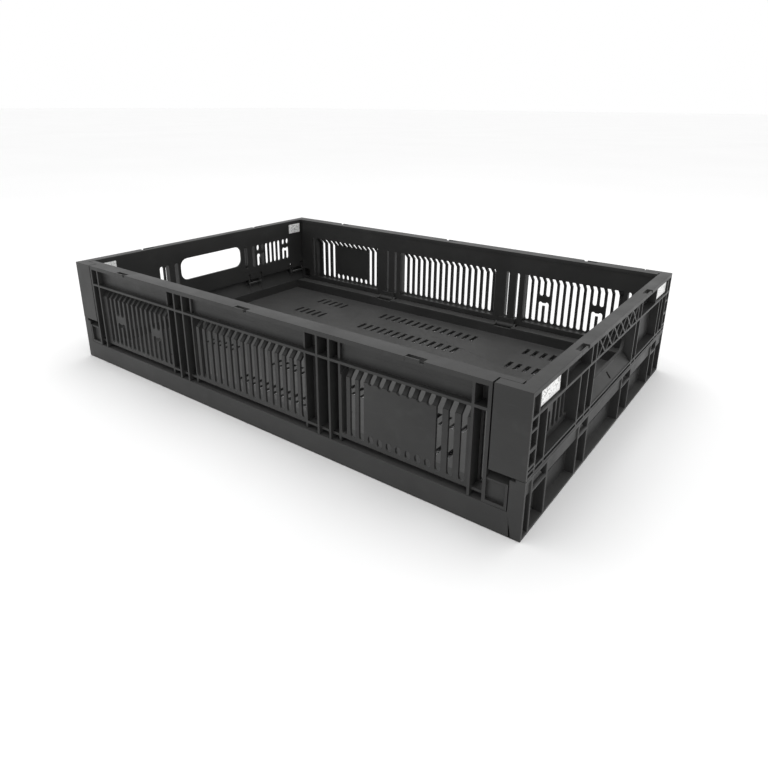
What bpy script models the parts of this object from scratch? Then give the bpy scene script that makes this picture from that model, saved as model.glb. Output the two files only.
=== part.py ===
"""Folding ventilated crate, 600 x 400 mm footprint, standing with its four walls upright.

Metres, +Z up, origin on the ground under the centre. X runs along the long walls and Y
along the short ones. Each long wall folds inward on two low hinges. Each short wall
stands on four higher hinges and wraps round the corners. Turning the crate half a turn
about Z gives the same crate, so each wall is designed once and placed twice.
"""
import math

import bmesh
import bpy
from mathutils import Matrix, Vector

MM = 0.001

# Overall sizes, in millimetres like every size below
LENGTH = 600.0
WIDTH = 400.0
HEIGHT = 124.0
GAP = 0.3  # between pieces that rest on each other
SKIN = 3.0  # wall thickness of the mouldings
RIB = 2.4  # thickness of the ribs
TOP_PLATE = 4.5  # thickness of the stacking rim
MERGE = 0.00005  # metres, for welding coincident corners
LAP = 1.0  # how far fused blocks run into each other, and how far cutters run clear

END_X = LENGTH / 2
SIDE_Y = WIDTH / 2
RIM_UNDERSIDE = HEIGHT - TOP_PLATE

# Base tray
FLOOR_BOTTOM = 5.0
FLOOR_TOP = 8.0
SILL_TOP = 22.0  # the long walls stand on this ledge
SILL_INNER_Y = 170.0
POST_INNER_Y = 186.0
POST_TOP = 52.0  # the short walls stand on the rail at this height
POST_X = 287.5
RAIL_X = 296.8  # inner face of the outer rail, clear of the short wall's swing
RAIL_DEPTH = 3.0
END_SKIN_X = 288.0  # inner face of both short sides
END_SKIN_TOP = 38.5
SLOPE_FOOT = 20.0  # the end skin leans out to the rail from here up
SLOPE_HEAD = 38.0
SLOPE_THICK = 1.8
TRIM_THICK = 5.0
UNDER_RIBS_Y = (50.0, 111.0, 150.0)
UNDER_RIBS_X = (-220.0, -110.0, 0.0, 110.0, 220.0)
POST_LEDGE = 2.4  # the posts' tops are lowered this much inside, for the corner returns to swing

# Long walls
LONG_RIM_Y = 183.0  # inner edge of the rim
LONG_SKIN_Y = 184.0
LONG_STRIP_Y = 190.0  # the rim's inner strip runs on behind the corner return
LONG_HALF = 268.8
EAR_HALF = 286.9
EAR_FACE_TOP = 45.3  # the ear's outer edge swings clear of the corner return above it
EAR_TOP = 51.4
BAND_Y = 194.0  # outer face of the smooth band under the rim
BAND_BAYS = ((-254.0, -122.0), (-81.0, 81.0), (122.0, 254.0))
BAND_RIB = 2.5
BAND_RIB_TOP = 102.0
BAY_Y = 197.0  # outer face of the slotted panels, which stand proud of the skin
BAY_THICK = 2.4
BAY_SHOULDER_Z = (87.2, 97.8)  # the panels lean in from here up, and meet the skin
FOOT_SHELF_Z = (27.0, 29.5)  # the shelf under the slotted panels
WINDOW_INSET = 1.4
EAR_PANEL_TOP = 44.0
EAR_BACK_INSET = 4.0
LONG_HINGE_Y = 181.0
LONG_HINGE_Z = 20.5
LONG_HINGE_X = (-102.0, 102.0)
LONG_RIBS = (-254.0, -105.3, -91.7, 98.3, 112.5, 254.0)
LONG_LOW_RIBS = (81.0, 122.0)  # these end level with the slotted panels
LONG_NOTCHES_X = (-204.0, 0.0, 201.0)
NOTCH_HALF = 9.0
NOTCH_DEPTH = 6.0

# Short walls
RETURN_X = 270.0
RETURN_Y = 190.3  # the corner return's inner side
SHORT_RIM_X = 288.0
SHORT_RIB_TOP = 103.5
SHORT_HINGE_X = 292.5
SHORT_HINGE_Z = 45.0
SHORT_SKIN_BOTTOM = 44.0
SHORT_FOOT_Y = 180.0  # the skin below the rail stops short of the posts
HINGE_BAYS = ((-188.0, -156.0), (-90.0, -63.0), (34.0, 68.0), (146.0, 172.0))
SHORT_RIBS = (-169.0, -99.8, -80.7, -64.0, 60.8, 75.0, 155.0, 168.0)
SHORT_FOOT_RAIL = 2.0
SHORT_SECOND_RAIL_Z = (57.0, 59.0)
SHORT_BAND_RIBS = (64.0, 76.0, 134.0)
SHORT_NOTCHES_Y = (-95.5, 102.5)
CORNER_RIB_Y = 187.0
CORNER_SHELVES = ((60.8, 63.2), (74.5, 78.0), (90.8, 93.2))
LABEL_PANEL_X = 294.0
LABEL_PANEL_Y = (142.0, 188.0)
HANDLE_CENTRE_Y = 4.5
HANDLE_HALF = 55.0
HANDLE_Z = (70.0, 101.0)
HANDLE_CORNER = 11.0
TRUSS_HALF = 60.0
TRUSS_CELLS = 6
TRUSS_RIB = 2.0
GRIP_RAMP = ((298.4, 58.0), (289.6, 69.5))  # foot and head of the ramp under the hand hole
GRIP_RAMP_Y = (-62.0, 58.0)
GRIP_HOLE_HALF = 1.5  # the small upright hole in the ramp
GRIP_HOLE_Z = (60.5, 66.5)

# Ventilation slots
LONG_SLOT = 5.5
SHORT_SLOT = 6.0
SLOT_END_SIDES = 8
LONG_SLOT_Z = (30.5, 96.0)
SHORT_SLOT_Z = (63.0, 97.0)
MIDDLE_SLOTS = 17
MIDDLE_PITCH = 9.7
LEFT_START = -126.0
LEFT_SLOTS = 14
LEFT_PITCH = 8.95
LEFT_CLIPS = (2, 10)  # a card clip takes this slot's place and the next one's
RIGHT_START = 127.0
RIGHT_SLOTS = 11
PANEL_SLOTS = range(3, 10)  # the plain panel interrupts these slots of the right bay
OUTER_SLOTS_X = (235.0, 246.0)
COLUMN_SLOTS_X = (-259.5, -113.5, -98.6, 89.5, 104.5, 259.5)
COLUMN_SLOT = 4.4
LONG_CLIP_Z = (59.5, 67.5)  # the web between a card clip's lower and upper cuts
PANEL_Z = (38.5, 86.5)  # the plain panel that interrupts these slots
SHORT_SLOTS_Y = (-131.0, -122.0, -113.0, -104.0, -76.0, -60.2, 66.5, 81.3, 90.2)
SHORT_CLIPS_Y = (-146.0, -90.5)
SHORT_CLIP_Z = (83.0, 88.0)
FLOOR_SLOT = (5.0, 20.0)
FLOOR_ROWS = (-137.0, -85.0, 85.0, 137.0)
FLOOR_PITCH = 11.8
FLOOR_GROUPS = ((-201.0, 5), (-76.7, 14), (153.8, 5))  # first slot and how many

# Hinges
PIN_RADIUS = 2.0
HOLE_RADIUS = 2.4
KNUCKLE_RADIUS = 4.2
KNUCKLE_HALF = 9.0
KNUCKLE_NECK = 2.5
LONG_KNUCKLE_HALF = 12.0
BRACKET = 3.0
LONG_POCKET_Z = 12.0  # the ledge is open from here up between a long hinge's brackets
LONG_POCKET_RIM_Z = 20.0  # the pocket's inner wall ends here, under the folded wall's knuckle
RELIEF_RADIUS = 4.6  # in the long wall's foot, round the brackets
ROUND_SIDES = 16

# Labels
LABEL_THICK = 0.6
LABEL_INSET = 1.0
OUTER_LABEL_FREE = 4.0  # the outer labels end this much before the panel does
INNER_LABEL_START = 155.0
INNER_LABEL_BOTTOM = 104.0

BLACK = ((0.045, 0.045, 0.047), 0.45, 0.0)
DARK = ((0.036, 0.036, 0.038), 0.5, 0.0)
PIN_GREY = ((0.07, 0.07, 0.075), 0.4, 0.0)
LABEL_WHITE = ((0.86, 0.86, 0.85), 0.35, 0.0)


def clear_scene():
    for old in list(bpy.data.objects):
        bpy.data.objects.remove(old, do_unlink=True)


def new_collection(name):
    made = bpy.data.collections.new(name)
    bpy.context.scene.collection.children.link(made)
    return made


def block(bm, x, y, z):
    """A box between two corners given as (low, high) pairs in millimetres."""
    size = [(high - low) * MM for low, high in (x, y, z)]
    middle = [(high + low) / 2 * MM for low, high in (x, y, z)]
    matrix = Matrix.Translation(middle) @ Matrix.Diagonal((*size, 1.0))
    bmesh.ops.create_cube(bm, size=1.0, matrix=matrix)


def both_x(bm, x, y, z):
    """The same box at +X and at -X."""
    block(bm, x, y, z)
    block(bm, (-x[1], -x[0]), y, z)


def both_y(bm, x, y, z):
    """The same box at +Y and at -Y."""
    block(bm, x, y, z)
    block(bm, x, (-y[1], -y[0]), z)


def rod(bm, axis, centre, radius, length, sides=ROUND_SIDES):
    """A cylinder along X or Y, with its centre in millimetres."""
    turn = Matrix.Rotation(math.pi / 2, 4, "Y" if axis == "X" else "X")
    place = Matrix.Translation(Vector(centre) * MM) @ turn
    bmesh.ops.create_cone(
        bm, cap_ends=True, segments=sides, radius1=radius * MM, radius2=radius * MM,
        depth=length * MM, matrix=place,
    )


def slanted_plate(bm, foot, head, thick, y):
    """A plate along Y whose section runs from foot to head, both (x, z)."""
    run = Vector((head[0] - foot[0], 0.0, head[1] - foot[1]))
    middle = Vector(((foot[0] + head[0]) / 2, (y[0] + y[1]) / 2, (foot[1] + head[1]) / 2))
    tilt = math.atan2(run.x, run.z)
    size = (thick * MM, (y[1] - y[0]) * MM, run.length * MM)
    matrix = (
        Matrix.Translation(middle * MM)
        @ Matrix.Rotation(tilt, 4, "Y")
        @ Matrix.Diagonal((*size, 1.0))
    )
    bmesh.ops.create_cube(bm, size=1.0, matrix=matrix)


def brace(bm, x, start, end, thick):
    """A diagonal rib in an end face, from start to end, both (y, z)."""
    run = Vector((0.0, end[0] - start[0], end[1] - start[1]))
    middle = Vector(((x[0] + x[1]) / 2, (start[0] + end[0]) / 2, (start[1] + end[1]) / 2))
    tilt = math.atan2(run.z, run.y)
    size = ((x[1] - x[0]) * MM, run.length * MM, thick * MM)
    matrix = (
        Matrix.Translation(middle * MM)
        @ Matrix.Rotation(tilt, 4, "X")
        @ Matrix.Diagonal((*size, 1.0))
    )
    bmesh.ops.create_cube(bm, size=1.0, matrix=matrix)


def rounded_opening(bm, x, middle, half, z, corner):
    """A cutter for the hand hole: a rounded rectangle in the YZ plane."""
    outline = []
    steps = 5
    for turn, (side, edge) in enumerate(((1, 1), (-1, 1), (-1, 0), (1, 0))):
        centre_y = middle + side * (half - corner)
        centre_z = z[1] - corner if edge else z[0] + corner
        for step in range(steps + 1):
            angle = math.pi / 2 * (turn + step / steps)
            outline.append(
                (centre_y + corner * math.cos(angle), centre_z + corner * math.sin(angle))
            )
    near = [bm.verts.new((x[0] * MM, y * MM, up * MM)) for y, up in outline]
    face = bm.faces.new(near)
    face.normal_update()
    if face.normal.x > 0:
        face.normal_flip()
    made = bmesh.ops.extrude_face_region(bm, geom=[face])
    corners = [v for v in made["geom"] if isinstance(v, bmesh.types.BMVert)]
    bmesh.ops.translate(bm, verts=corners, vec=((x[1] - x[0]) * MM, 0.0, 0.0))


def material(name, look):
    colour, roughness, metallic = look
    made = bpy.data.materials.new(name)
    made.use_nodes = True
    shader = made.node_tree.nodes["Principled BSDF"]
    shader.inputs["Base Color"].default_value = (*colour, 1.0)
    shader.inputs["Roughness"].default_value = roughness
    shader.inputs["Metallic"].default_value = metallic
    return made


def mesh_about(name, draw, pivot):
    """The mesh that draw fills in, moved so that pivot (in millimetres) is its origin."""
    bm = bmesh.new()
    draw(bm)
    bmesh.ops.translate(bm, verts=bm.verts, vec=-Vector(pivot) * MM)
    bmesh.ops.recalc_face_normals(bm, faces=bm.faces)
    mesh = bpy.data.meshes.new(name)
    bm.to_mesh(mesh)
    bm.free()
    return mesh


def place(obj, pivot, turned):
    """Put an object at its pivot, or at the pivot's place half a turn round the crate."""
    side = -1.0 if turned else 1.0
    obj.location = (side * pivot[0] * MM, side * pivot[1] * MM, pivot[2] * MM)
    obj.rotation_euler = (0.0, 0.0, math.pi if turned else 0.0)


def add_part(name, solid, hollow, pivot, look, turned=False):
    """One moulding: overlapping blocks fused into one body, less its cutters."""
    part = bpy.data.objects.new(name, mesh_about(name, solid, pivot))
    PARTS.objects.link(part)
    place(part, pivot, turned)
    part.data.materials.append(material(name, look))
    if hollow:
        cutter = bpy.data.objects.new(name + "_cut", mesh_about(name + "_cut", hollow, pivot))
        CUTTERS.objects.link(cutter)
        place(cutter, pivot, turned)
        cutter.hide_render = True
        cutter.display_type = "WIRE"
        cut = part.modifiers.new("cut", "BOOLEAN")
        cut.operation = "DIFFERENCE"
        cut.solver = "EXACT"
        cut.use_self = True
        cut.object = cutter
        weld = part.modifiers.new("weld", "WELD")
        weld.merge_threshold = MERGE
    return part


# --- base tray -------------------------------------------------------------------------

def base_solid(bm):
    sill = (-POST_X - LAP, POST_X + LAP)
    block(bm, (-END_SKIN_X - LAP, END_SKIN_X + LAP), (-SILL_INNER_Y - LAP, SILL_INNER_Y + LAP),
          (FLOOR_BOTTOM, FLOOR_TOP))
    both_y(bm, (-END_X, END_X), (SIDE_Y - SKIN, SIDE_Y), (0.0, SILL_TOP))
    both_y(bm, sill, (SILL_INNER_Y, SIDE_Y), (SILL_TOP - SKIN, SILL_TOP))
    both_y(bm, sill, (SILL_INNER_Y, SILL_INNER_Y + SKIN), (FLOOR_BOTTOM, SILL_TOP))
    for side in (-1, 1):
        end_side(bm, side)
    for x in LONG_HINGE_X:
        for y_side in (-1, 1):
            long_hinge_brackets(bm, x, y_side)
    underside_ribs(bm)


def mirrored(low, high, side):
    return (low, high) if side > 0 else (-high, -low)


def end_side(bm, side):
    """One short side of the base: skin, corner posts, rail, ribs and hinge boxes."""
    skin = mirrored(END_SKIN_X, END_SKIN_X + SKIN, side)
    full = mirrored(END_SKIN_X, END_X, side)
    rail = mirrored(RAIL_X, END_X, side)
    post = mirrored(POST_X, END_X, side)
    post_wall = mirrored(POST_X, POST_X + SKIN, side)
    reach = (-SIDE_Y + LAP, SIDE_Y - LAP)
    half = SLOPE_THICK / 2
    block(bm, skin, reach, (0.0, SLOPE_FOOT + 2 * LAP))
    slanted_plate(
        bm, (side * (END_SKIN_X + half), SLOPE_FOOT), (side * (RAIL_X + half), SLOPE_HEAD),
        SLOPE_THICK, reach,
    )
    block(bm, mirrored(RAIL_X, RAIL_X + SLOPE_THICK, side), reach,
          (SLOPE_HEAD - LAP, POST_TOP - LAP))
    block(bm, rail, reach, (POST_TOP - RAIL_DEPTH, POST_TOP))
    block(bm, full, reach, (0.0, RIB))
    both_y(bm, post, (SIDE_Y - SKIN, SIDE_Y), (0.0, POST_TOP))
    both_y(bm, post_wall, (POST_INNER_Y, SIDE_Y), (0.0, POST_TOP))
    for low, high in HINGE_BAYS:
        low, high = mirrored(low, high, side)
        for edge in (low, high - BRACKET):
            block(bm, full, (edge, edge + BRACKET), (0.0, END_SKIN_TOP))
            block(bm, mirrored(END_SKIN_X + LAP, END_X, side), (edge, edge + BRACKET),
                  (END_SKIN_TOP - LAP, POST_TOP - 2 * LAP))
        block(bm, mirrored(END_SKIN_X, END_X, side), (low, high),
              (END_SKIN_TOP - RIB, END_SKIN_TOP))


def long_hinge_brackets(bm, x, side):
    """A pair of round-headed brackets in the ledge that hold one pin."""
    axis_y = side * LONG_HINGE_Y
    y = (axis_y - KNUCKLE_RADIUS, axis_y + KNUCKLE_RADIUS)
    for edge in (x - LONG_KNUCKLE_HALF - GAP - BRACKET, x + LONG_KNUCKLE_HALF + GAP):
        rod(bm, "X", (edge + BRACKET / 2, axis_y, LONG_HINGE_Z), KNUCKLE_RADIUS, BRACKET)
        block(bm, (edge, edge + BRACKET), y, (LONG_POCKET_Z, LONG_HINGE_Z))


def underside_ribs(bm):
    tall = (0.0, FLOOR_TOP - LAP)
    for y in UNDER_RIBS_Y:
        both_y(bm, (-END_SKIN_X, END_SKIN_X), (y - RIB / 2, y + RIB / 2), tall)
    for x in UNDER_RIBS_X:
        block(bm, (x - RIB / 2, x + RIB / 2), (-SILL_INNER_Y, SILL_INNER_Y), tall)


def base_hollow(bm):
    floor_slots(bm)
    for side in (-1, 1):
        for low, high in HINGE_BAYS:
            middle = side * (low + high) / 2
            x = side * SHORT_HINGE_X
            rod(bm, "Y", (x, middle, SHORT_HINGE_Z), HOLE_RADIUS, high - low + 4 * LAP)
        for x in LONG_HINGE_X:
            length = 2 * (LONG_KNUCKLE_HALF + BRACKET + LAP)
            rod(bm, "X", (x, side * LONG_HINGE_Y, LONG_HINGE_Z), HOLE_RADIUS, length)
            half = LONG_KNUCKLE_HALF + GAP
            pocket = (x - half, x + half)
            above = SILL_TOP + 3 * LAP
            block(bm, pocket, mirrored(SILL_INNER_Y + SKIN, POST_INNER_Y, side),
                  (LONG_POCKET_Z, above))
            block(bm, pocket, mirrored(SILL_INNER_Y - LAP, SILL_INNER_Y + SKIN + LAP, side),
                  (LONG_POCKET_RIM_Z, above))
    hinge_windows(bm)
    for side in (-1, 1):
        for low, high in HINGE_BAYS:
            slanted_plate(bm, *trim_plate(side), TRIM_THICK,
                          mirrored(low - LAP, high + LAP, side))
        both_y(bm, mirrored(POST_X - LAP, SHORT_HINGE_X - GAP, side),
               (POST_INNER_Y - LAP, SIDE_Y + LAP), (POST_TOP - POST_LEDGE, POST_TOP + LAP))


def trim_plate(side):
    """Foot and head of a cutter that trims the brackets flush with the leaning end skin."""
    foot = Vector((END_SKIN_X + SLOPE_THICK / 2, SLOPE_FOOT))
    head = Vector((RAIL_X + SLOPE_THICK / 2, SLOPE_HEAD))
    run = (head - foot).normalized()
    shift = Vector((-run.y, run.x)) * ((SLOPE_THICK + TRIM_THICK) / 2 + GAP / 2)
    foot += shift
    head += shift
    return (side * foot.x, foot.y), (side * head.x, head.y)


def hinge_windows(bm):
    """Clear the slanted skin and the strip out of each hinge box, between its brackets."""
    for side in (-1, 1):
        for low, high in HINGE_BAYS:
            low, high = mirrored(low, high, side)
            block(bm, mirrored(END_SKIN_X + SKIN + LAP / 2, END_X + LAP, side),
                  (low + BRACKET, high - BRACKET), (END_SKIN_TOP + GAP, POST_TOP - RAIL_DEPTH))


def floor_slots(bm):
    wide, tall = FLOOR_SLOT
    depth = (FLOOR_BOTTOM - LAP / 2, FLOOR_TOP + LAP)
    for y in FLOOR_ROWS:
        for start, count in FLOOR_GROUPS:
            for index in range(count):
                x = start + index * FLOOR_PITCH
                block(bm, (x - wide / 2, x + wide / 2), (y - tall / 2, y + tall / 2), depth)


# --- long wall (front one; the back one is the same, half a turn round) ------------------

def long_solid(bm):
    outer = (-SIDE_Y, -LONG_SKIN_Y)
    skin = (-LONG_SKIN_Y - SKIN, -LONG_SKIN_Y)
    foot = SILL_TOP + GAP
    block(bm, (-LONG_HALF, LONG_HALF), (-SIDE_Y, -LONG_RIM_Y), (RIM_UNDERSIDE, HEIGHT))
    block(bm, (-EAR_HALF, EAR_HALF), (-LONG_STRIP_Y, -LONG_RIM_Y), (RIM_UNDERSIDE, HEIGHT))
    block(bm, (-EAR_HALF, EAR_HALF), skin, (foot, RIM_UNDERSIDE + LAP))
    block(bm, (-LONG_HALF, LONG_HALF), outer, (BAND_RIB_TOP - BAND_RIB, BAND_RIB_TOP))
    shoulder_foot = (-BAY_Y + BAY_THICK / 2, BAY_SHOULDER_Z[0])
    shoulder_head = (-LONG_SKIN_Y - SKIN + LAP, BAY_SHOULDER_Z[1])
    for bay in BAND_BAYS:
        block(bm, bay, (-BAND_Y, -BAND_Y + SKIN), (BAND_RIB_TOP - LAP, RIM_UNDERSIDE + LAP))
        block(bm, bay, (-BAY_Y, -BAY_Y + BAY_THICK),
              (FOOT_SHELF_Z[1] - LAP, BAY_SHOULDER_Z[0] + BAY_THICK / 2))
        leaning_plate(bm, bay, shoulder_foot, shoulder_head, BAY_THICK)
    block(bm, (-LONG_HALF, LONG_HALF), (-BAY_Y, -LONG_SKIN_Y), FOOT_SHELF_Z)
    both_x(bm, (LONG_HALF - SKIN, EAR_HALF), outer, (foot, foot + SKIN))
    both_x(bm, (LONG_HALF - SKIN, EAR_HALF), (-BAY_Y, -BAY_Y + BAY_THICK),
           (foot, EAR_PANEL_TOP))
    both_x(bm, (EAR_HALF - RIB, EAR_HALF), outer, (foot, EAR_FACE_TOP))
    for side in (-1, 1):
        ear_top(bm, mirrored(LONG_HALF - SKIN, EAR_HALF, side))
    both_x(bm, (LONG_HALF - SKIN, LONG_HALF), outer, (foot, RIM_UNDERSIDE + LAP))
    for x in LONG_RIBS:
        block(bm, (x - RIB / 2, x + RIB / 2), outer, (foot, RIM_UNDERSIDE + LAP))
    for x in LONG_LOW_RIBS:
        both_x(bm, (x - RIB / 2, x + RIB / 2), (-BAY_Y, -LONG_SKIN_Y),
               (foot, RIM_UNDERSIDE + LAP))
    for x in LONG_HINGE_X:
        long_knuckle(bm, x)


def leaning_plate(bm, x, foot, head, thick):
    """A plate along X whose section runs from foot to head, both (y, z)."""
    run = Vector((0.0, head[0] - foot[0], head[1] - foot[1]))
    middle = Vector(((x[0] + x[1]) / 2, (foot[0] + head[0]) / 2, (foot[1] + head[1]) / 2))
    size = ((x[1] - x[0]) * MM, run.length * MM, thick * MM)
    matrix = (
        Matrix.Translation(middle * MM)
        @ Matrix.Rotation(math.atan2(run.z, run.y), 4, "X")
        @ Matrix.Diagonal((*size, 1.0))
    )
    bmesh.ops.create_cube(bm, size=1.0, matrix=matrix)


def ear_top(bm, x):
    """The ear's top plate, which rises inward because the ear swings about a low hinge."""
    drop = RIB / 2 + GAP
    leaning_plate(bm, x, (-SIDE_Y + LAP / 2, EAR_FACE_TOP - drop),
                  (-LONG_SKIN_Y - LAP / 2, EAR_TOP - drop), RIB)


def long_knuckle(bm, x):
    """The wall's half of a hinge: an eye below its inner edge, on a short neck."""
    half = LONG_KNUCKLE_HALF
    rod(bm, "X", (x, -LONG_HINGE_Y, LONG_HINGE_Z), KNUCKLE_RADIUS, 2 * half)
    block(bm, (x - half, x + half), (-LONG_SKIN_Y - LAP, -LONG_HINGE_Y - GAP),
          (LONG_HINGE_Z, SILL_TOP + 2 * KNUCKLE_RADIUS))


def long_hollow(bm):
    through = (-BAY_Y - LAP, -LONG_SKIN_Y + LAP)
    low, high = LONG_SLOT_Z
    for bay_low, bay_high in BAND_BAYS:
        block(bm, (bay_low + RIB, bay_high - RIB), (-BAND_Y + SKIN, -LONG_SKIN_Y - SKIN),
              (BAND_RIB_TOP - BAND_RIB - LAP / 2, RIM_UNDERSIDE))
        block(bm, (bay_low + WINDOW_INSET, bay_high - WINDOW_INSET),
              (-LONG_SKIN_Y - SKIN - LAP, -LONG_SKIN_Y + LAP),
              (FOOT_SHELF_Z[1], LONG_SLOT_Z[1]))
    both_x(bm, (LONG_HALF + LAP, EAR_HALF - EAR_BACK_INSET),
           (-LONG_SKIN_Y - SKIN - LAP, -LONG_SKIN_Y + LAP),
           (SILL_TOP + EAR_BACK_INSET, EAR_PANEL_TOP - EAR_BACK_INSET))
    first = -(MIDDLE_SLOTS - 1) / 2 * MIDDLE_PITCH
    for index in range(MIDDLE_SLOTS):
        cut_slot(bm, "X", first + index * MIDDLE_PITCH, through, (low, high), LONG_SLOT)
    taken = [clip + step for clip in LEFT_CLIPS for step in (0, 1)]
    for index in range(LEFT_SLOTS):
        if index not in taken:
            cut_slot(bm, "X", LEFT_START - index * LEFT_PITCH, through, (low, high), LONG_SLOT)
    for index in LEFT_CLIPS:
        middle = LEFT_START - (index + 0.5) * LEFT_PITCH
        cut_clip(bm, "X", middle, through, LONG_SLOT_Z, LONG_CLIP_Z, LONG_SLOT)
    for index in range(RIGHT_SLOTS):
        x = RIGHT_START + index * MIDDLE_PITCH
        if index in PANEL_SLOTS:
            cut_slot(bm, "X", x, through, (low, PANEL_Z[0]), LONG_SLOT)
            cut_slot(bm, "X", x, through, (PANEL_Z[1], high), LONG_SLOT)
        else:
            cut_slot(bm, "X", x, through, (low, high), LONG_SLOT)
    for x in OUTER_SLOTS_X:
        cut_slot(bm, "X", x, through, (low, high), LONG_SLOT)
    for x in COLUMN_SLOTS_X:
        cut_slot(bm, "X", x, through, (low, high), COLUMN_SLOT)
    for x in LONG_NOTCHES_X:
        block(bm, (x - NOTCH_HALF, x + NOTCH_HALF), (-SIDE_Y - LAP, -SIDE_Y + NOTCH_DEPTH),
              (RIM_UNDERSIDE - LAP, HEIGHT + LAP))
    for x in LONG_HINGE_X:
        rod(bm, "X", (x, -LONG_HINGE_Y, LONG_HINGE_Z), HOLE_RADIUS,
            2 * LONG_KNUCKLE_HALF + 4 * LAP)
        for side in (-1, 1):
            middle = x + side * (LONG_KNUCKLE_HALF + GAP + BRACKET / 2)
            rod(bm, "X", (middle, -LONG_HINGE_Y, LONG_HINGE_Z), RELIEF_RADIUS,
                BRACKET + 2 * GAP)


def cut_slot(bm, along, centre, through, z, width):
    """A round-ended slot through a wall that runs along X or Y."""
    outline = []
    steps = SLOT_END_SIDES // 2
    radius = width / 2
    for start, end_z in ((0.0, z[1] - radius), (math.pi, z[0] + radius)):
        for step in range(steps + 1):
            angle = start + math.pi * step / steps
            outline.append((centre + radius * math.cos(angle), end_z + radius * math.sin(angle)))
    if along == "X":
        near = [bm.verts.new((x * MM, through[0] * MM, up * MM)) for x, up in outline]
        run = (0.0, (through[1] - through[0]) * MM, 0.0)
    else:
        near = [bm.verts.new((through[0] * MM, y * MM, up * MM)) for y, up in outline]
        run = ((through[1] - through[0]) * MM, 0.0, 0.0)
    made = bmesh.ops.extrude_face_region(bm, geom=[bm.faces.new(near)])
    corners = [v for v in made["geom"] if isinstance(v, bmesh.types.BMVert)]
    bmesh.ops.translate(bm, verts=corners, vec=run)


def cut_clip(bm, along, centre, through, slot_z, web_z, width):
    """Cuts that leave a springy card clip: slots in pairs, the lower pair joined by an arch."""
    low, high = slot_z
    lower, upper = web_z
    arm = LEFT_PITCH / 2
    for side in (-1, 1):
        for z in ((upper, high), (low, lower)):
            cut_slot(bm, along, centre + side * arm, through, z, width)
    arch = (lower - width, lower - width / 4)
    if along == "X":
        block(bm, (centre - arm, centre + arm), through, arch)
    else:
        block(bm, through, (centre - arm, centre + arm), arch)


# --- short wall (right one; the left one is the same, half a turn round) -----------------

def short_solid(bm):
    foot = POST_TOP + GAP
    outer = (END_SKIN_X, END_X)
    skin = (END_SKIN_X, END_SKIN_X + SKIN)
    block(bm, (SHORT_RIM_X, END_X), (-SIDE_Y, SIDE_Y), (RIM_UNDERSIDE, HEIGHT))
    reach = (-SIDE_Y + LAP, SIDE_Y - LAP)
    block(bm, skin, (-CORNER_RIB_Y + LAP, CORNER_RIB_Y - LAP), (foot, RIM_UNDERSIDE + LAP))
    block(bm, skin, (-SHORT_FOOT_Y, SHORT_FOOT_Y), (SHORT_SKIN_BOTTOM, foot + LAP))
    block(bm, outer, reach, (foot, foot + SHORT_FOOT_RAIL))
    block(bm, outer, reach, SHORT_SECOND_RAIL_Z)
    block(bm, outer, reach, (SHORT_RIB_TOP - BAND_RIB, SHORT_RIB_TOP))
    slanted_plate(bm, *GRIP_RAMP, SLOPE_THICK, GRIP_RAMP_Y)
    for side in (-1, 1):
        corner_return(bm, side, foot)
    both_y(bm, (LABEL_PANEL_X, LABEL_PANEL_X + SKIN), LABEL_PANEL_Y,
           (SHORT_RIB_TOP - LAP, RIM_UNDERSIDE + LAP))
    for y in SHORT_RIBS:
        block(bm, outer, (y - RIB / 2, y + RIB / 2), (foot, SHORT_RIB_TOP - LAP))
    for y in SHORT_BAND_RIBS:
        both_y(bm, outer, (y - RIB / 2, y + RIB / 2), (SHORT_RIB_TOP - LAP, RIM_UNDERSIDE + LAP))
    truss(bm)
    for low, high in HINGE_BAYS:
        middle = (low + high) / 2
        rod(bm, "Y", (SHORT_HINGE_X, middle, SHORT_HINGE_Z), KNUCKLE_RADIUS, 2 * KNUCKLE_HALF)
        block(bm, (SHORT_HINGE_X - KNUCKLE_NECK, SHORT_HINGE_X + KNUCKLE_NECK),
              (middle - KNUCKLE_HALF, middle + KNUCKLE_HALF), (SHORT_HINGE_Z, foot + LAP))


def corner_return(bm, side, foot):
    """The short wall's wrap round the corner, hollow behind, with small shelves."""
    face = mirrored(SIDE_Y - SKIN, SIDE_Y, side)
    depth = mirrored(RETURN_Y, SIDE_Y, side)
    rib = mirrored(CORNER_RIB_Y - RIB, CORNER_RIB_Y, side)
    block(bm, (RETURN_X, END_X), face, (foot, HEIGHT))
    block(bm, (RETURN_X, RETURN_X + SKIN), depth, (foot, HEIGHT))
    block(bm, (RETURN_X, END_X), depth, (RIM_UNDERSIDE, HEIGHT))
    block(bm, (END_SKIN_X, END_X), rib, (foot, RIM_UNDERSIDE + LAP))
    for shelf in CORNER_SHELVES:
        block(bm, (RETURN_X + LAP, END_SKIN_X + LAP), mirrored(RETURN_Y, SIDE_Y - LAP, side),
              shelf)
        block(bm, (END_SKIN_X, END_X), mirrored(CORNER_RIB_Y - LAP, SIDE_Y - LAP, side), shelf)


def truss(bm):
    """Crossed ribs over the hand hole."""
    x = (END_SKIN_X + LAP, END_X)
    low = SHORT_RIB_TOP - LAP
    high = RIM_UNDERSIDE + LAP
    cell = 2 * TRUSS_HALF / TRUSS_CELLS
    for index in range(TRUSS_CELLS):
        start = -TRUSS_HALF + index * cell
        brace(bm, x, (start, low), (start + cell, high), TRUSS_RIB)
        brace(bm, x, (start, high), (start + cell, low), TRUSS_RIB)


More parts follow.
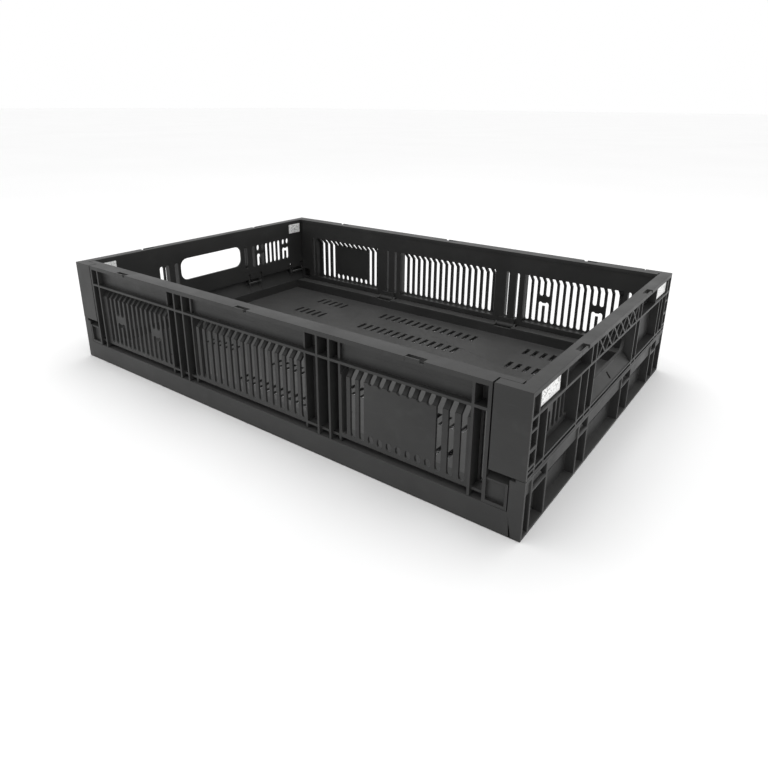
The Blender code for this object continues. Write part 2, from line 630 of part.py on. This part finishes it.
def short_hollow(bm):
    through = (END_SKIN_X - LAP, END_SKIN_X + SKIN + LAP)
    rounded_opening(bm, through, HANDLE_CENTRE_Y, HANDLE_HALF, HANDLE_Z, HANDLE_CORNER)
    for y in SHORT_SLOTS_Y:
        cut_slot(bm, "Y", y, through, SHORT_SLOT_Z, SHORT_SLOT)
    for y in SHORT_CLIPS_Y:
        cut_clip(bm, "Y", y, through, SHORT_SLOT_Z, SHORT_CLIP_Z, SHORT_SLOT)
    block(bm, (END_SKIN_X + SKIN + LAP, END_X + LAP), (-GRIP_HOLE_HALF, GRIP_HOLE_HALF),
          GRIP_HOLE_Z)
    for y in SHORT_NOTCHES_Y:
        block(bm, (END_X - NOTCH_DEPTH, END_X + LAP), (y - NOTCH_HALF, y + NOTCH_HALF),
              (RIM_UNDERSIDE - LAP, HEIGHT + LAP))
    for low, high in HINGE_BAYS:
        middle = (low + high) / 2
        rod(bm, "Y", (SHORT_HINGE_X, middle, SHORT_HINGE_Z), HOLE_RADIUS,
            high - low + 2 * LAP)
        for edge in (low, high - BRACKET):
            block(bm, through, (edge - GAP, edge + BRACKET + GAP),
                  (SHORT_SKIN_BOTTOM - LAP, POST_TOP + GAP))


# --- hinge pins and labels ---------------------------------------------------------------

def add_pin(name, axis, centre, length, look):
    pin = bpy.data.objects.new(
        name, mesh_about(name, lambda bm: rod(bm, axis, centre, PIN_RADIUS, length), centre)
    )
    PARTS.objects.link(pin)
    pin.location = Vector(centre) * MM
    pin.data.materials.append(material(name, look))
    pin.data.shade_smooth()
    pin.data.set_sharp_from_angle(angle=math.radians(40))


def add_label(name, x, y, z, turned):
    centre = ((x[0] + x[1]) / 2, (y[0] + y[1]) / 2, (z[0] + z[1]) / 2)
    add_part(name, lambda bm: block(bm, x, y, z), None, centre, LABEL_WHITE, turned)


def add_pins():
    for side, wall in ((-1, "front"), (1, "back")):
        for x, end in zip(LONG_HINGE_X, ("left", "right")):
            length = 2 * (LONG_KNUCKLE_HALF + BRACKET)
            add_pin(f"hinge_pin_{wall}_{end}", "X", (x, side * LONG_HINGE_Y, LONG_HINGE_Z),
                    length, PIN_GREY)
    for side, wall in ((-1, "left"), (1, "right")):
        for number, (low, high) in enumerate(HINGE_BAYS, start=1):
            centre = (side * SHORT_HINGE_X, side * (low + high) / 2, SHORT_HINGE_Z)
            add_pin(f"hinge_pin_{wall}_{number}", "Y", centre, high - low, PIN_GREY)


def add_labels():
    outer_x = (LABEL_PANEL_X + SKIN + GAP, LABEL_PANEL_X + SKIN + GAP + LABEL_THICK)
    inner_x = (END_SKIN_X - GAP - LABEL_THICK, END_SKIN_X - GAP)
    for turned, wall in ((False, "right"), (True, "left")):
        for side, hand in ((-1, "a"), (1, "b")):
            outer_y = mirrored(LABEL_PANEL_Y[0] + LABEL_INSET,
                               LABEL_PANEL_Y[1] - OUTER_LABEL_FREE, side)
            inner_y = mirrored(INNER_LABEL_START, SHORT_FOOT_Y, side)
            label_top = RIM_UNDERSIDE - LABEL_INSET
            add_label(f"outer_label_{wall}_{hand}", outer_x, outer_y,
                      (SHORT_RIB_TOP + LABEL_INSET, label_top), turned)
            add_label(f"inner_label_{wall}_{hand}", inner_x, inner_y,
                      (INNER_LABEL_BOTTOM, label_top), turned)


clear_scene()
PARTS = new_collection("folding_crate")
CUTTERS = new_collection("cutters")

add_part("base_tray", base_solid, base_hollow, (0.0, 0.0, 0.0), BLACK)
LONG_PIVOT = (0.0, -LONG_HINGE_Y, LONG_HINGE_Z)
SHORT_PIVOT = (SHORT_HINGE_X, 0.0, SHORT_HINGE_Z)
add_part("long_wall_front", long_solid, long_hollow, LONG_PIVOT, DARK)
add_part("long_wall_back", long_solid, long_hollow, LONG_PIVOT, DARK, turned=True)
add_part("short_wall_right", short_solid, short_hollow, SHORT_PIVOT, BLACK)
add_part("short_wall_left", short_solid, short_hollow, SHORT_PIVOT, BLACK, turned=True)
add_pins()
add_labels()
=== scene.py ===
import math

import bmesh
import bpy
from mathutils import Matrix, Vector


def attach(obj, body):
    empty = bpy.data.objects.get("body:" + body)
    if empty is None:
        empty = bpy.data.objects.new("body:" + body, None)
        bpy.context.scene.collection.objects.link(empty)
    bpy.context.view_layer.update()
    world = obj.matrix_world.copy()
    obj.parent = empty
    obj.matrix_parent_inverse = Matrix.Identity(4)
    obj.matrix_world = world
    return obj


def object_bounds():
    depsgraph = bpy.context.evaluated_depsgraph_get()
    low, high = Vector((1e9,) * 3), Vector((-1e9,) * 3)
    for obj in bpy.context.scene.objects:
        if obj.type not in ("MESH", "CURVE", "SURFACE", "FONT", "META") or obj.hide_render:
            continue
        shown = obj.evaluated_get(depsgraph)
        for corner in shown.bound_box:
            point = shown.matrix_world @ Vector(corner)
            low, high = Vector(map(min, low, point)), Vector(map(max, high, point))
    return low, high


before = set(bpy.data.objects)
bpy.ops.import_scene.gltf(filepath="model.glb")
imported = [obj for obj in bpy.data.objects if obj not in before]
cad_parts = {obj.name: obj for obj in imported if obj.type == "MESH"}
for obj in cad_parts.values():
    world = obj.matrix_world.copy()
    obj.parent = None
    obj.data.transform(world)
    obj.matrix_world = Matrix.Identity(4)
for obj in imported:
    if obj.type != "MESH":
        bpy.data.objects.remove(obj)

# Studio view of a folding ventilated crate that stands with its four walls upright.
#
# Metres, +Z up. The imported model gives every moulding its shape. This script rounds the
# edges, gives each moulding its plastic and adds the small features that the CAD solids
# leave out: the lips that close the rim's notches and the creases in the bands under the
# rim.

CAD_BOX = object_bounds()
MM = 0.001

# Camera, with the directions that its right side, its top and its lens point in
CAMERA_PLACE = (0.44152, -0.56593, 0.31036)
CAMERA_RIGHT = (0.80389, 0.59474, 0.00678)
CAMERA_UP = (-0.20011, 0.25972, 0.94472)
CAMERA_FORWARD = (-0.56010, 0.76081, -0.32780)
LENS = 28.73
SENSOR = 36.0
SHIFT_Y = -0.088
CLIP = (0.01, 50.0)

# Studio
WORLD_COLOUR = (1.0, 1.0, 1.0, 1.0)
WORLD_STRENGTH = 1.0
KEY_PLACE = (0.0, 0.1, 1.5)
KEY_TARGET = (0.0, 0.0, 0.05)
KEY_SIZE = 1.2
KEY_POWER = 6.0
FLOOR_HALF = 30.0
FLOOR_DROP = 0.0002  # keeps the floor just under the crate
FLOOR_GREY = 0.96
FLOOR_CLOUD = 0.01
FLOOR_ROUGHNESS = 0.85

# Plastics
BASE_COLOUR = (0.030, 0.030, 0.0295)
BASE_ROUGHNESS = 0.48
WALL_COLOUR = (0.027, 0.027, 0.0265)
WALL_ROUGHNESS = 0.46
PIN_COLOUR = (0.032, 0.032, 0.033)
PIN_ROUGHNESS = 0.42
PLASTIC_IOR = 1.49
SHEEN = 0.32  # the grain scatters much of the plastic's gloss
MOULD_GRAIN = 0.25
PIN_GRAIN = 0.12
MOULD_DUST = 0.10
PIN_DUST = 0.05
# painted light from above: the lighter tone given to the base's faces that look up
TOP_LIGHT_TONE = (0.060, 0.060, 0.059)  # on the base's faces that look up
CLOUD_DARK = 0.82  # the darkest and lightest clouds, as shares of the colour
CLOUD_LIGHT = 1.16
POWDER_GAIN = 1.9  # dust's tone, from the plastic's own
POWDER_LIFT = 0.012
PATCH_GAIN = 2.5  # how much more a dusty patch covers than a scuff does
GLOSSIER = 0.07  # how far the roughness drops and rises over a surface
DULLER = 0.09

# Labels
PAPER = (0.95, 0.95, 0.94)
PRINT = (0.34, 0.34, 0.34)

# Edge rounding, in metres
EDGE_ANGLE = math.radians(32)
EDGE_SEGMENTS = 2
WELD_DISTANCE = 0.00002
BASE_EDGE = 0.0005
LONG_WALL_EDGE = 0.0002  # a wider one spikes out at the ears
SHORT_WALL_EDGE = 0.0004
LABEL_EDGE = 0.0002
PIN_EDGE = 0.0003
DETAIL_EDGE = 0.0002
FLATTENING = 100  # how strongly large faces keep their own shading

# Details on the walls, in millimetres
HALF_LENGTH = 300.0
HALF_WIDTH = 200.0
RIM_TOP = 124.0
RIM_UNDERSIDE = 119.5
LONG_NOTCHES_X = (-204.0, 0.0, 201.0)
SHORT_NOTCHES_Y = (-95.5, 102.5)
NOTCH_HALF = 9.0
DETAIL_PLAY = 0.06  # keeps an added face off the moulding's own
LIP_THICK = 1.5
LIP_STEP_ALONG = 4.6
LIP_STEP_SLOPE = 0.8
LIP_STEP_Z = 121.3
BAND_Y = 194.0
BAND_BAYS = ((-254.0, -122.0), (-81.0, 81.0), (122.0, 254.0))
RIB_CLEAR = 1.3
CREASE_Z = 111.5
CREASE_OUT = 1.1
CREASE_BURIED = 0.4


# --- materials ---------------------------------------------------------------------------

def new_material(name):
    made = bpy.data.materials.new(name)
    made.use_nodes = True
    tree = made.node_tree
    return made, tree, tree.nodes["Principled BSDF"]


def object_space(tree, output="Object"):
    """A point, or with "Normal" a surface normal, in the object's own space."""
    return tree.nodes.new("ShaderNodeTexCoord").outputs[output]


def noise(tree, place, scale, detail, roughness=0.5, stretch=None):
    """Noise over a place, stretched where its marks run one way."""
    if stretch:
        mapping = tree.nodes.new("ShaderNodeMapping")
        mapping.inputs["Scale"].default_value = stretch
        tree.links.new(place, mapping.inputs["Vector"])
        place = mapping.outputs["Vector"]
    made = tree.nodes.new("ShaderNodeTexNoise")
    made.inputs["Scale"].default_value = scale
    made.inputs["Detail"].default_value = detail
    made.inputs["Roughness"].default_value = roughness
    tree.links.new(place, made.inputs["Vector"])
    return made.outputs["Fac"]


def ramp(tree, value, low, high):
    """A ramp from low to high, each a position and a tone: an (r, g, b) or one grey."""
    made = tree.nodes.new("ShaderNodeValToRGB")
    for point, (position, tone) in zip(made.color_ramp.elements, (low, high)):
        point.position = position
        colour = tone if isinstance(tone, tuple) else (tone, tone, tone)
        point.color = (*colour, 1.0)
    tree.links.new(value, made.inputs["Fac"])
    return made.outputs["Color"]


def plain(tree, colour):
    """One colour, for mixing."""
    made = tree.nodes.new("ShaderNodeRGB")
    made.outputs[0].default_value = (*colour, 1.0)
    return made.outputs[0]


def mix(tree, share, first, second):
    """A colour that goes from first to second as share goes from 0 to 1."""
    made = tree.nodes.new("ShaderNodeMix")
    made.data_type = "RGBA"
    tree.links.new(share, made.inputs["Factor"])
    tree.links.new(first, made.inputs["A"])
    tree.links.new(second, made.inputs["B"])
    return made.outputs["Result"]


def bump(tree, height, depth, strength, below=None):
    """A bump of height on the shader's normal, or on the bump below it."""
    made = tree.nodes.new("ShaderNodeBump")
    made.inputs["Distance"].default_value = depth
    made.inputs["Strength"].default_value = strength
    tree.links.new(height, made.inputs["Height"])
    if below:
        tree.links.new(below, made.inputs["Normal"])
    return made.outputs["Normal"]


def paint_top_light(tree, tone, patches, colour):
    """Painted light from above: a lighter tone on faces that look up, stronger in patches."""
    facing = tree.nodes.new("ShaderNodeSeparateXYZ")
    tree.links.new(object_space(tree, "Normal"), facing.inputs["Vector"])
    share = ramp(tree, facing.outputs["Z"], low=(0.75, 0.0), high=(0.97, 1.0))
    lift_strength = ramp(tree, patches, low=(0.30, 0.72), high=(0.70, 1.0))
    lightened = mix(tree, lift_strength, tone, plain(tree, colour))
    return mix(tree, share, tone, lightened)


def moulded_plastic(name, colour, roughness, grain=MOULD_GRAIN, dust=MOULD_DUST, top_light=None):
    """Black polypropylene: mould grain, flow marks, fine scuffs and a little dust."""
    made, tree, shader = new_material(name)
    place = object_space(tree)
    dark = tuple(part * CLOUD_DARK for part in colour)
    light = tuple(part * CLOUD_LIGHT for part in colour)
    dusty = tuple(min(1.0, part * POWDER_GAIN + POWDER_LIFT) for part in colour)

    clouds = noise(tree, place, scale=14.0, detail=4.0)
    tone = ramp(tree, clouds, low=(0.3, dark), high=(0.7, light))
    patches = noise(tree, place, scale=46.0, detail=6.0, roughness=0.62)
    scuffs = noise(
        tree, place, scale=130.0, detail=3.0, roughness=0.6, stretch=(0.25, 0.25, 2.4)
    )
    dust_share = ramp(tree, patches, low=(0.56, 0.0), high=(0.80, dust * PATCH_GAIN))
    scuff_share = ramp(tree, scuffs, low=(0.62, 0.0), high=(0.74, dust))
    powder = plain(tree, dusty)
    tone = mix(tree, dust_share, tone, powder)
    tone = mix(tree, scuff_share, tone, powder)
    # painted light from above, on faces that look up
    if top_light:
        tone = paint_top_light(tree, tone, patches, top_light)
    tree.links.new(tone, shader.inputs["Base Color"])

    haze = noise(tree, place, scale=30.0, detail=5.0, roughness=0.6)
    dulled = ramp(
        tree, haze, low=(0.25, roughness - GLOSSIER), high=(0.75, roughness + DULLER)
    )
    tree.links.new(dulled, shader.inputs["Roughness"])
    shader.inputs["IOR"].default_value = PLASTIC_IOR
    shader.inputs["Specular IOR Level"].default_value = SHEEN

    waves = noise(tree, place, scale=60.0, detail=2.0, stretch=(1.0, 1.0, 0.3))
    flow = bump(tree, waves, depth=0.0006, strength=0.08)
    grains = noise(tree, place, scale=1900.0, detail=2.0)
    surface = bump(tree, grains, depth=0.0001, strength=grain, below=flow)
    tree.links.new(surface, shader.inputs["Normal"])
    return made


def label_paper(name):
    """A white identification label with blotches of fine dark speckle."""
    made, tree, shader = new_material(name)
    place = object_space(tree)
    dots = noise(tree, place, scale=640.0, detail=1.0)
    specks = ramp(tree, dots, low=(0.53, PAPER), high=(0.60, PRINT))
    blotches = noise(tree, place, scale=60.0, detail=1.0)
    share = ramp(tree, blotches, low=(0.40, 0.35), high=(0.60, 1.0))
    tone = mix(tree, share, plain(tree, PAPER), specks)
    tree.links.new(tone, shader.inputs["Base Color"])
    haze = noise(tree, place, scale=120.0, detail=3.0)
    dulled = ramp(tree, haze, low=(0.3, 0.26), high=(0.7, 0.42))
    tree.links.new(dulled, shader.inputs["Roughness"])
    fibres = noise(tree, place, scale=700.0, detail=2.0)
    surface = bump(tree, fibres, depth=0.00005, strength=0.2)
    tree.links.new(surface, shader.inputs["Normal"])
    return made


def floor_card(name):
    """The pale, faintly clouded card that the crate stands on."""
    made, tree, shader = new_material(name)
    clouds = noise(tree, object_space(tree), scale=1.5, detail=2.0)
    tone = ramp(
        tree, clouds, low=(0.3, FLOOR_GREY - FLOOR_CLOUD), high=(0.7, FLOOR_GREY + FLOOR_CLOUD)
    )
    tree.links.new(tone, shader.inputs["Base Color"])
    shader.inputs["Roughness"].default_value = FLOOR_ROUGHNESS
    return made


# --- studio ------------------------------------------------------------------------------

def add_to_scene(name, data):
    made = bpy.data.objects.new(name, data)
    bpy.context.scene.collection.objects.link(made)
    return made


def add_camera():
    data = bpy.data.cameras.new("camera")
    data.sensor_width = SENSOR
    data.lens = LENS
    data.shift_y = SHIFT_Y
    data.clip_start, data.clip_end = CLIP
    camera = add_to_scene("camera", data)
    back = -Vector(CAMERA_FORWARD)
    turn = Matrix((CAMERA_RIGHT, CAMERA_UP, back)).transposed()
    camera.matrix_world = Matrix.Translation(CAMERA_PLACE) @ turn.to_4x4()
    bpy.context.scene.camera = camera


def add_world():
    world = bpy.data.worlds.new("studio")
    world.use_nodes = True
    sky = world.node_tree.nodes["Background"]
    sky.inputs["Color"].default_value = WORLD_COLOUR
    sky.inputs["Strength"].default_value = WORLD_STRENGTH
    bpy.context.scene.world = world
    bpy.context.scene.view_settings.view_transform = "Standard"


def add_key_light():
    data = bpy.data.lights.new("key", "AREA")
    data.shape = "SQUARE"
    data.size = KEY_SIZE
    data.energy = KEY_POWER
    light = add_to_scene("key", data)
    light.location = KEY_PLACE
    aim = Vector(KEY_TARGET) - Vector(KEY_PLACE)
    light.rotation_euler = aim.to_track_quat("-Z", "Y").to_euler()


def add_floor():
    bm = bmesh.new()
    bmesh.ops.create_grid(bm, x_segments=2, y_segments=2, size=FLOOR_HALF)
    mesh = bpy.data.meshes.new("floor")
    bm.to_mesh(mesh)
    bm.free()
    mesh.materials.append(floor_card("pale_floor"))
    floor = add_to_scene("floor", mesh)
    floor.location.z = CAD_BOX[0][2] - FLOOR_DROP


# --- carried-over mouldings --------------------------------------------------------------

def add_bevel(obj, width):
    bevel = obj.modifiers.new("edge", "BEVEL")
    bevel.width = width
    bevel.segments = EDGE_SEGMENTS
    bevel.limit_method = "ANGLE"
    bevel.angle_limit = EDGE_ANGLE
    return bevel


def add_even_shading(obj):
    even = obj.modifiers.new("even", "WEIGHTED_NORMAL")
    even.keep_sharp = True
    return even


def finish_node(name, look, edge):
    """Round a moulding's edges and give it its material."""
    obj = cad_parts[name]
    obj.data.materials.clear()
    obj.data.materials.append(look)
    weld = obj.modifiers.new("weld", "WELD")
    weld.merge_threshold = WELD_DISTANCE
    bevel = add_bevel(obj, edge)
    bevel.use_clamp_overlap = False
    even = add_even_shading(obj)
    even.weight = FLATTENING
    for face in obj.data.polygons:
        face.use_smooth = True


def finish_mouldings(wall_look):
    # the base also gets painted light from above on its faces that look up
    base_look = moulded_plastic(
        "base_plastic", BASE_COLOUR, BASE_ROUGHNESS, top_light=TOP_LIGHT_TONE
    )
    pin_look = moulded_plastic("pin_plastic", PIN_COLOUR, PIN_ROUGHNESS, PIN_GRAIN, PIN_DUST)
    label_look = label_paper("label_paper")
    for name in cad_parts:
        if name == "base_tray":
            finish_node(name, base_look, BASE_EDGE)
        elif name.startswith("long_wall"):
            finish_node(name, wall_look, LONG_WALL_EDGE)
        elif name.startswith("short_wall"):
            finish_node(name, wall_look, SHORT_WALL_EDGE)
        elif "label" in name:
            finish_node(name, label_look, LABEL_EDGE)
        else:
            finish_node(name, pin_look, PIN_EDGE)


# --- added details -----------------------------------------------------------------------

def add_piece(name, body, look, bm, turned):
    """A detail on a wall, built for the front or right wall and turned for the other two."""
    if turned:
        bmesh.ops.rotate(bm, verts=bm.verts, matrix=Matrix.Rotation(math.pi, 3, "Z"))
    bmesh.ops.recalc_face_normals(bm, faces=bm.faces)
    mesh = bpy.data.meshes.new(name)
    bm.to_mesh(mesh)
    bm.free()
    mesh.materials.append(look)
    mesh.shade_smooth()
    piece = add_to_scene(name, mesh)
    add_bevel(piece, DETAIL_EDGE)
    add_even_shading(piece)
    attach(piece, body)


def prism(outline, place, depth):
    """An extruded outline: place turns one of its points and a depth into x, y and z."""
    bm = bmesh.new()
    near = [bm.verts.new(Vector(place(*point, depth[0])) * MM) for point in outline]
    far = [bm.verts.new(Vector(place(*point, depth[1])) * MM) for point in outline]
    bm.faces.new(near)
    bm.faces.new(list(reversed(far)))
    for index, start in enumerate(near):
        following = (index + 1) % len(near)
        bm.faces.new((start, far[index], far[following], near[following]))
    return bm


def notch_lip(middle, along_x):
    """The thin lip on a rim notch's outer side, stepped down at one end."""
    half = NOTCH_HALF - DETAIL_PLAY
    foot = RIM_UNDERSIDE + DETAIL_PLAY
    top = RIM_TOP - DETAIL_PLAY
    outline = (
        (middle - half, foot),
        (middle + half, foot),
        (middle + half, LIP_STEP_Z),
        (middle + LIP_STEP_ALONG + LIP_STEP_SLOPE, LIP_STEP_Z),
        (middle + LIP_STEP_ALONG, top),
        (middle - half, top),
    )
    if along_x:
        depth = (-HALF_WIDTH + DETAIL_PLAY, -HALF_WIDTH + LIP_THICK)
        return prism(outline, lambda x, z, y: (x, y, z), depth)
    depth = (HALF_LENGTH - LIP_THICK, HALF_LENGTH - DETAIL_PLAY)
    return prism(outline, lambda y, z, x: (x, y, z), depth)


def band_crease(low, high):
    """The band's upper facet, which stands out a little towards the rim."""
    top = RIM_UNDERSIDE - DETAIL_PLAY
    outline = (
        (-BAND_Y + CREASE_BURIED, CREASE_Z),
        (-BAND_Y - DETAIL_PLAY, CREASE_Z),
        (-BAND_Y - CREASE_OUT, top),
        (-BAND_Y + CREASE_BURIED, top),
    )
    return prism(outline, lambda y, z, x: (x, y, z), (low + RIB_CLEAR, high - RIB_CLEAR))


def add_details(look):
    for turned, wall in ((False, "front"), (True, "back")):
        body = f"{wall}_wall"
        for number, x in enumerate(LONG_NOTCHES_X, start=1):
            add_piece(f"rim_lip_{wall}_{number}", body, look, notch_lip(x, True), turned)
        for number, bay in enumerate(BAND_BAYS, start=1):
            add_piece(f"band_crease_{wall}_{number}", body, look, band_crease(*bay), turned)
    for turned, wall in ((False, "right"), (True, "left")):
        body = f"{wall}_wall"
        for number, y in enumerate(SHORT_NOTCHES_Y, start=1):
            add_piece(f"rim_lip_{wall}_{number}", body, look, notch_lip(y, False), turned)


add_camera()
add_world()
add_key_light()
add_floor()
wall_plastic = moulded_plastic("wall_plastic", WALL_COLOUR, WALL_ROUGHNESS)
finish_mouldings(wall_plastic)
add_details(wall_plastic)
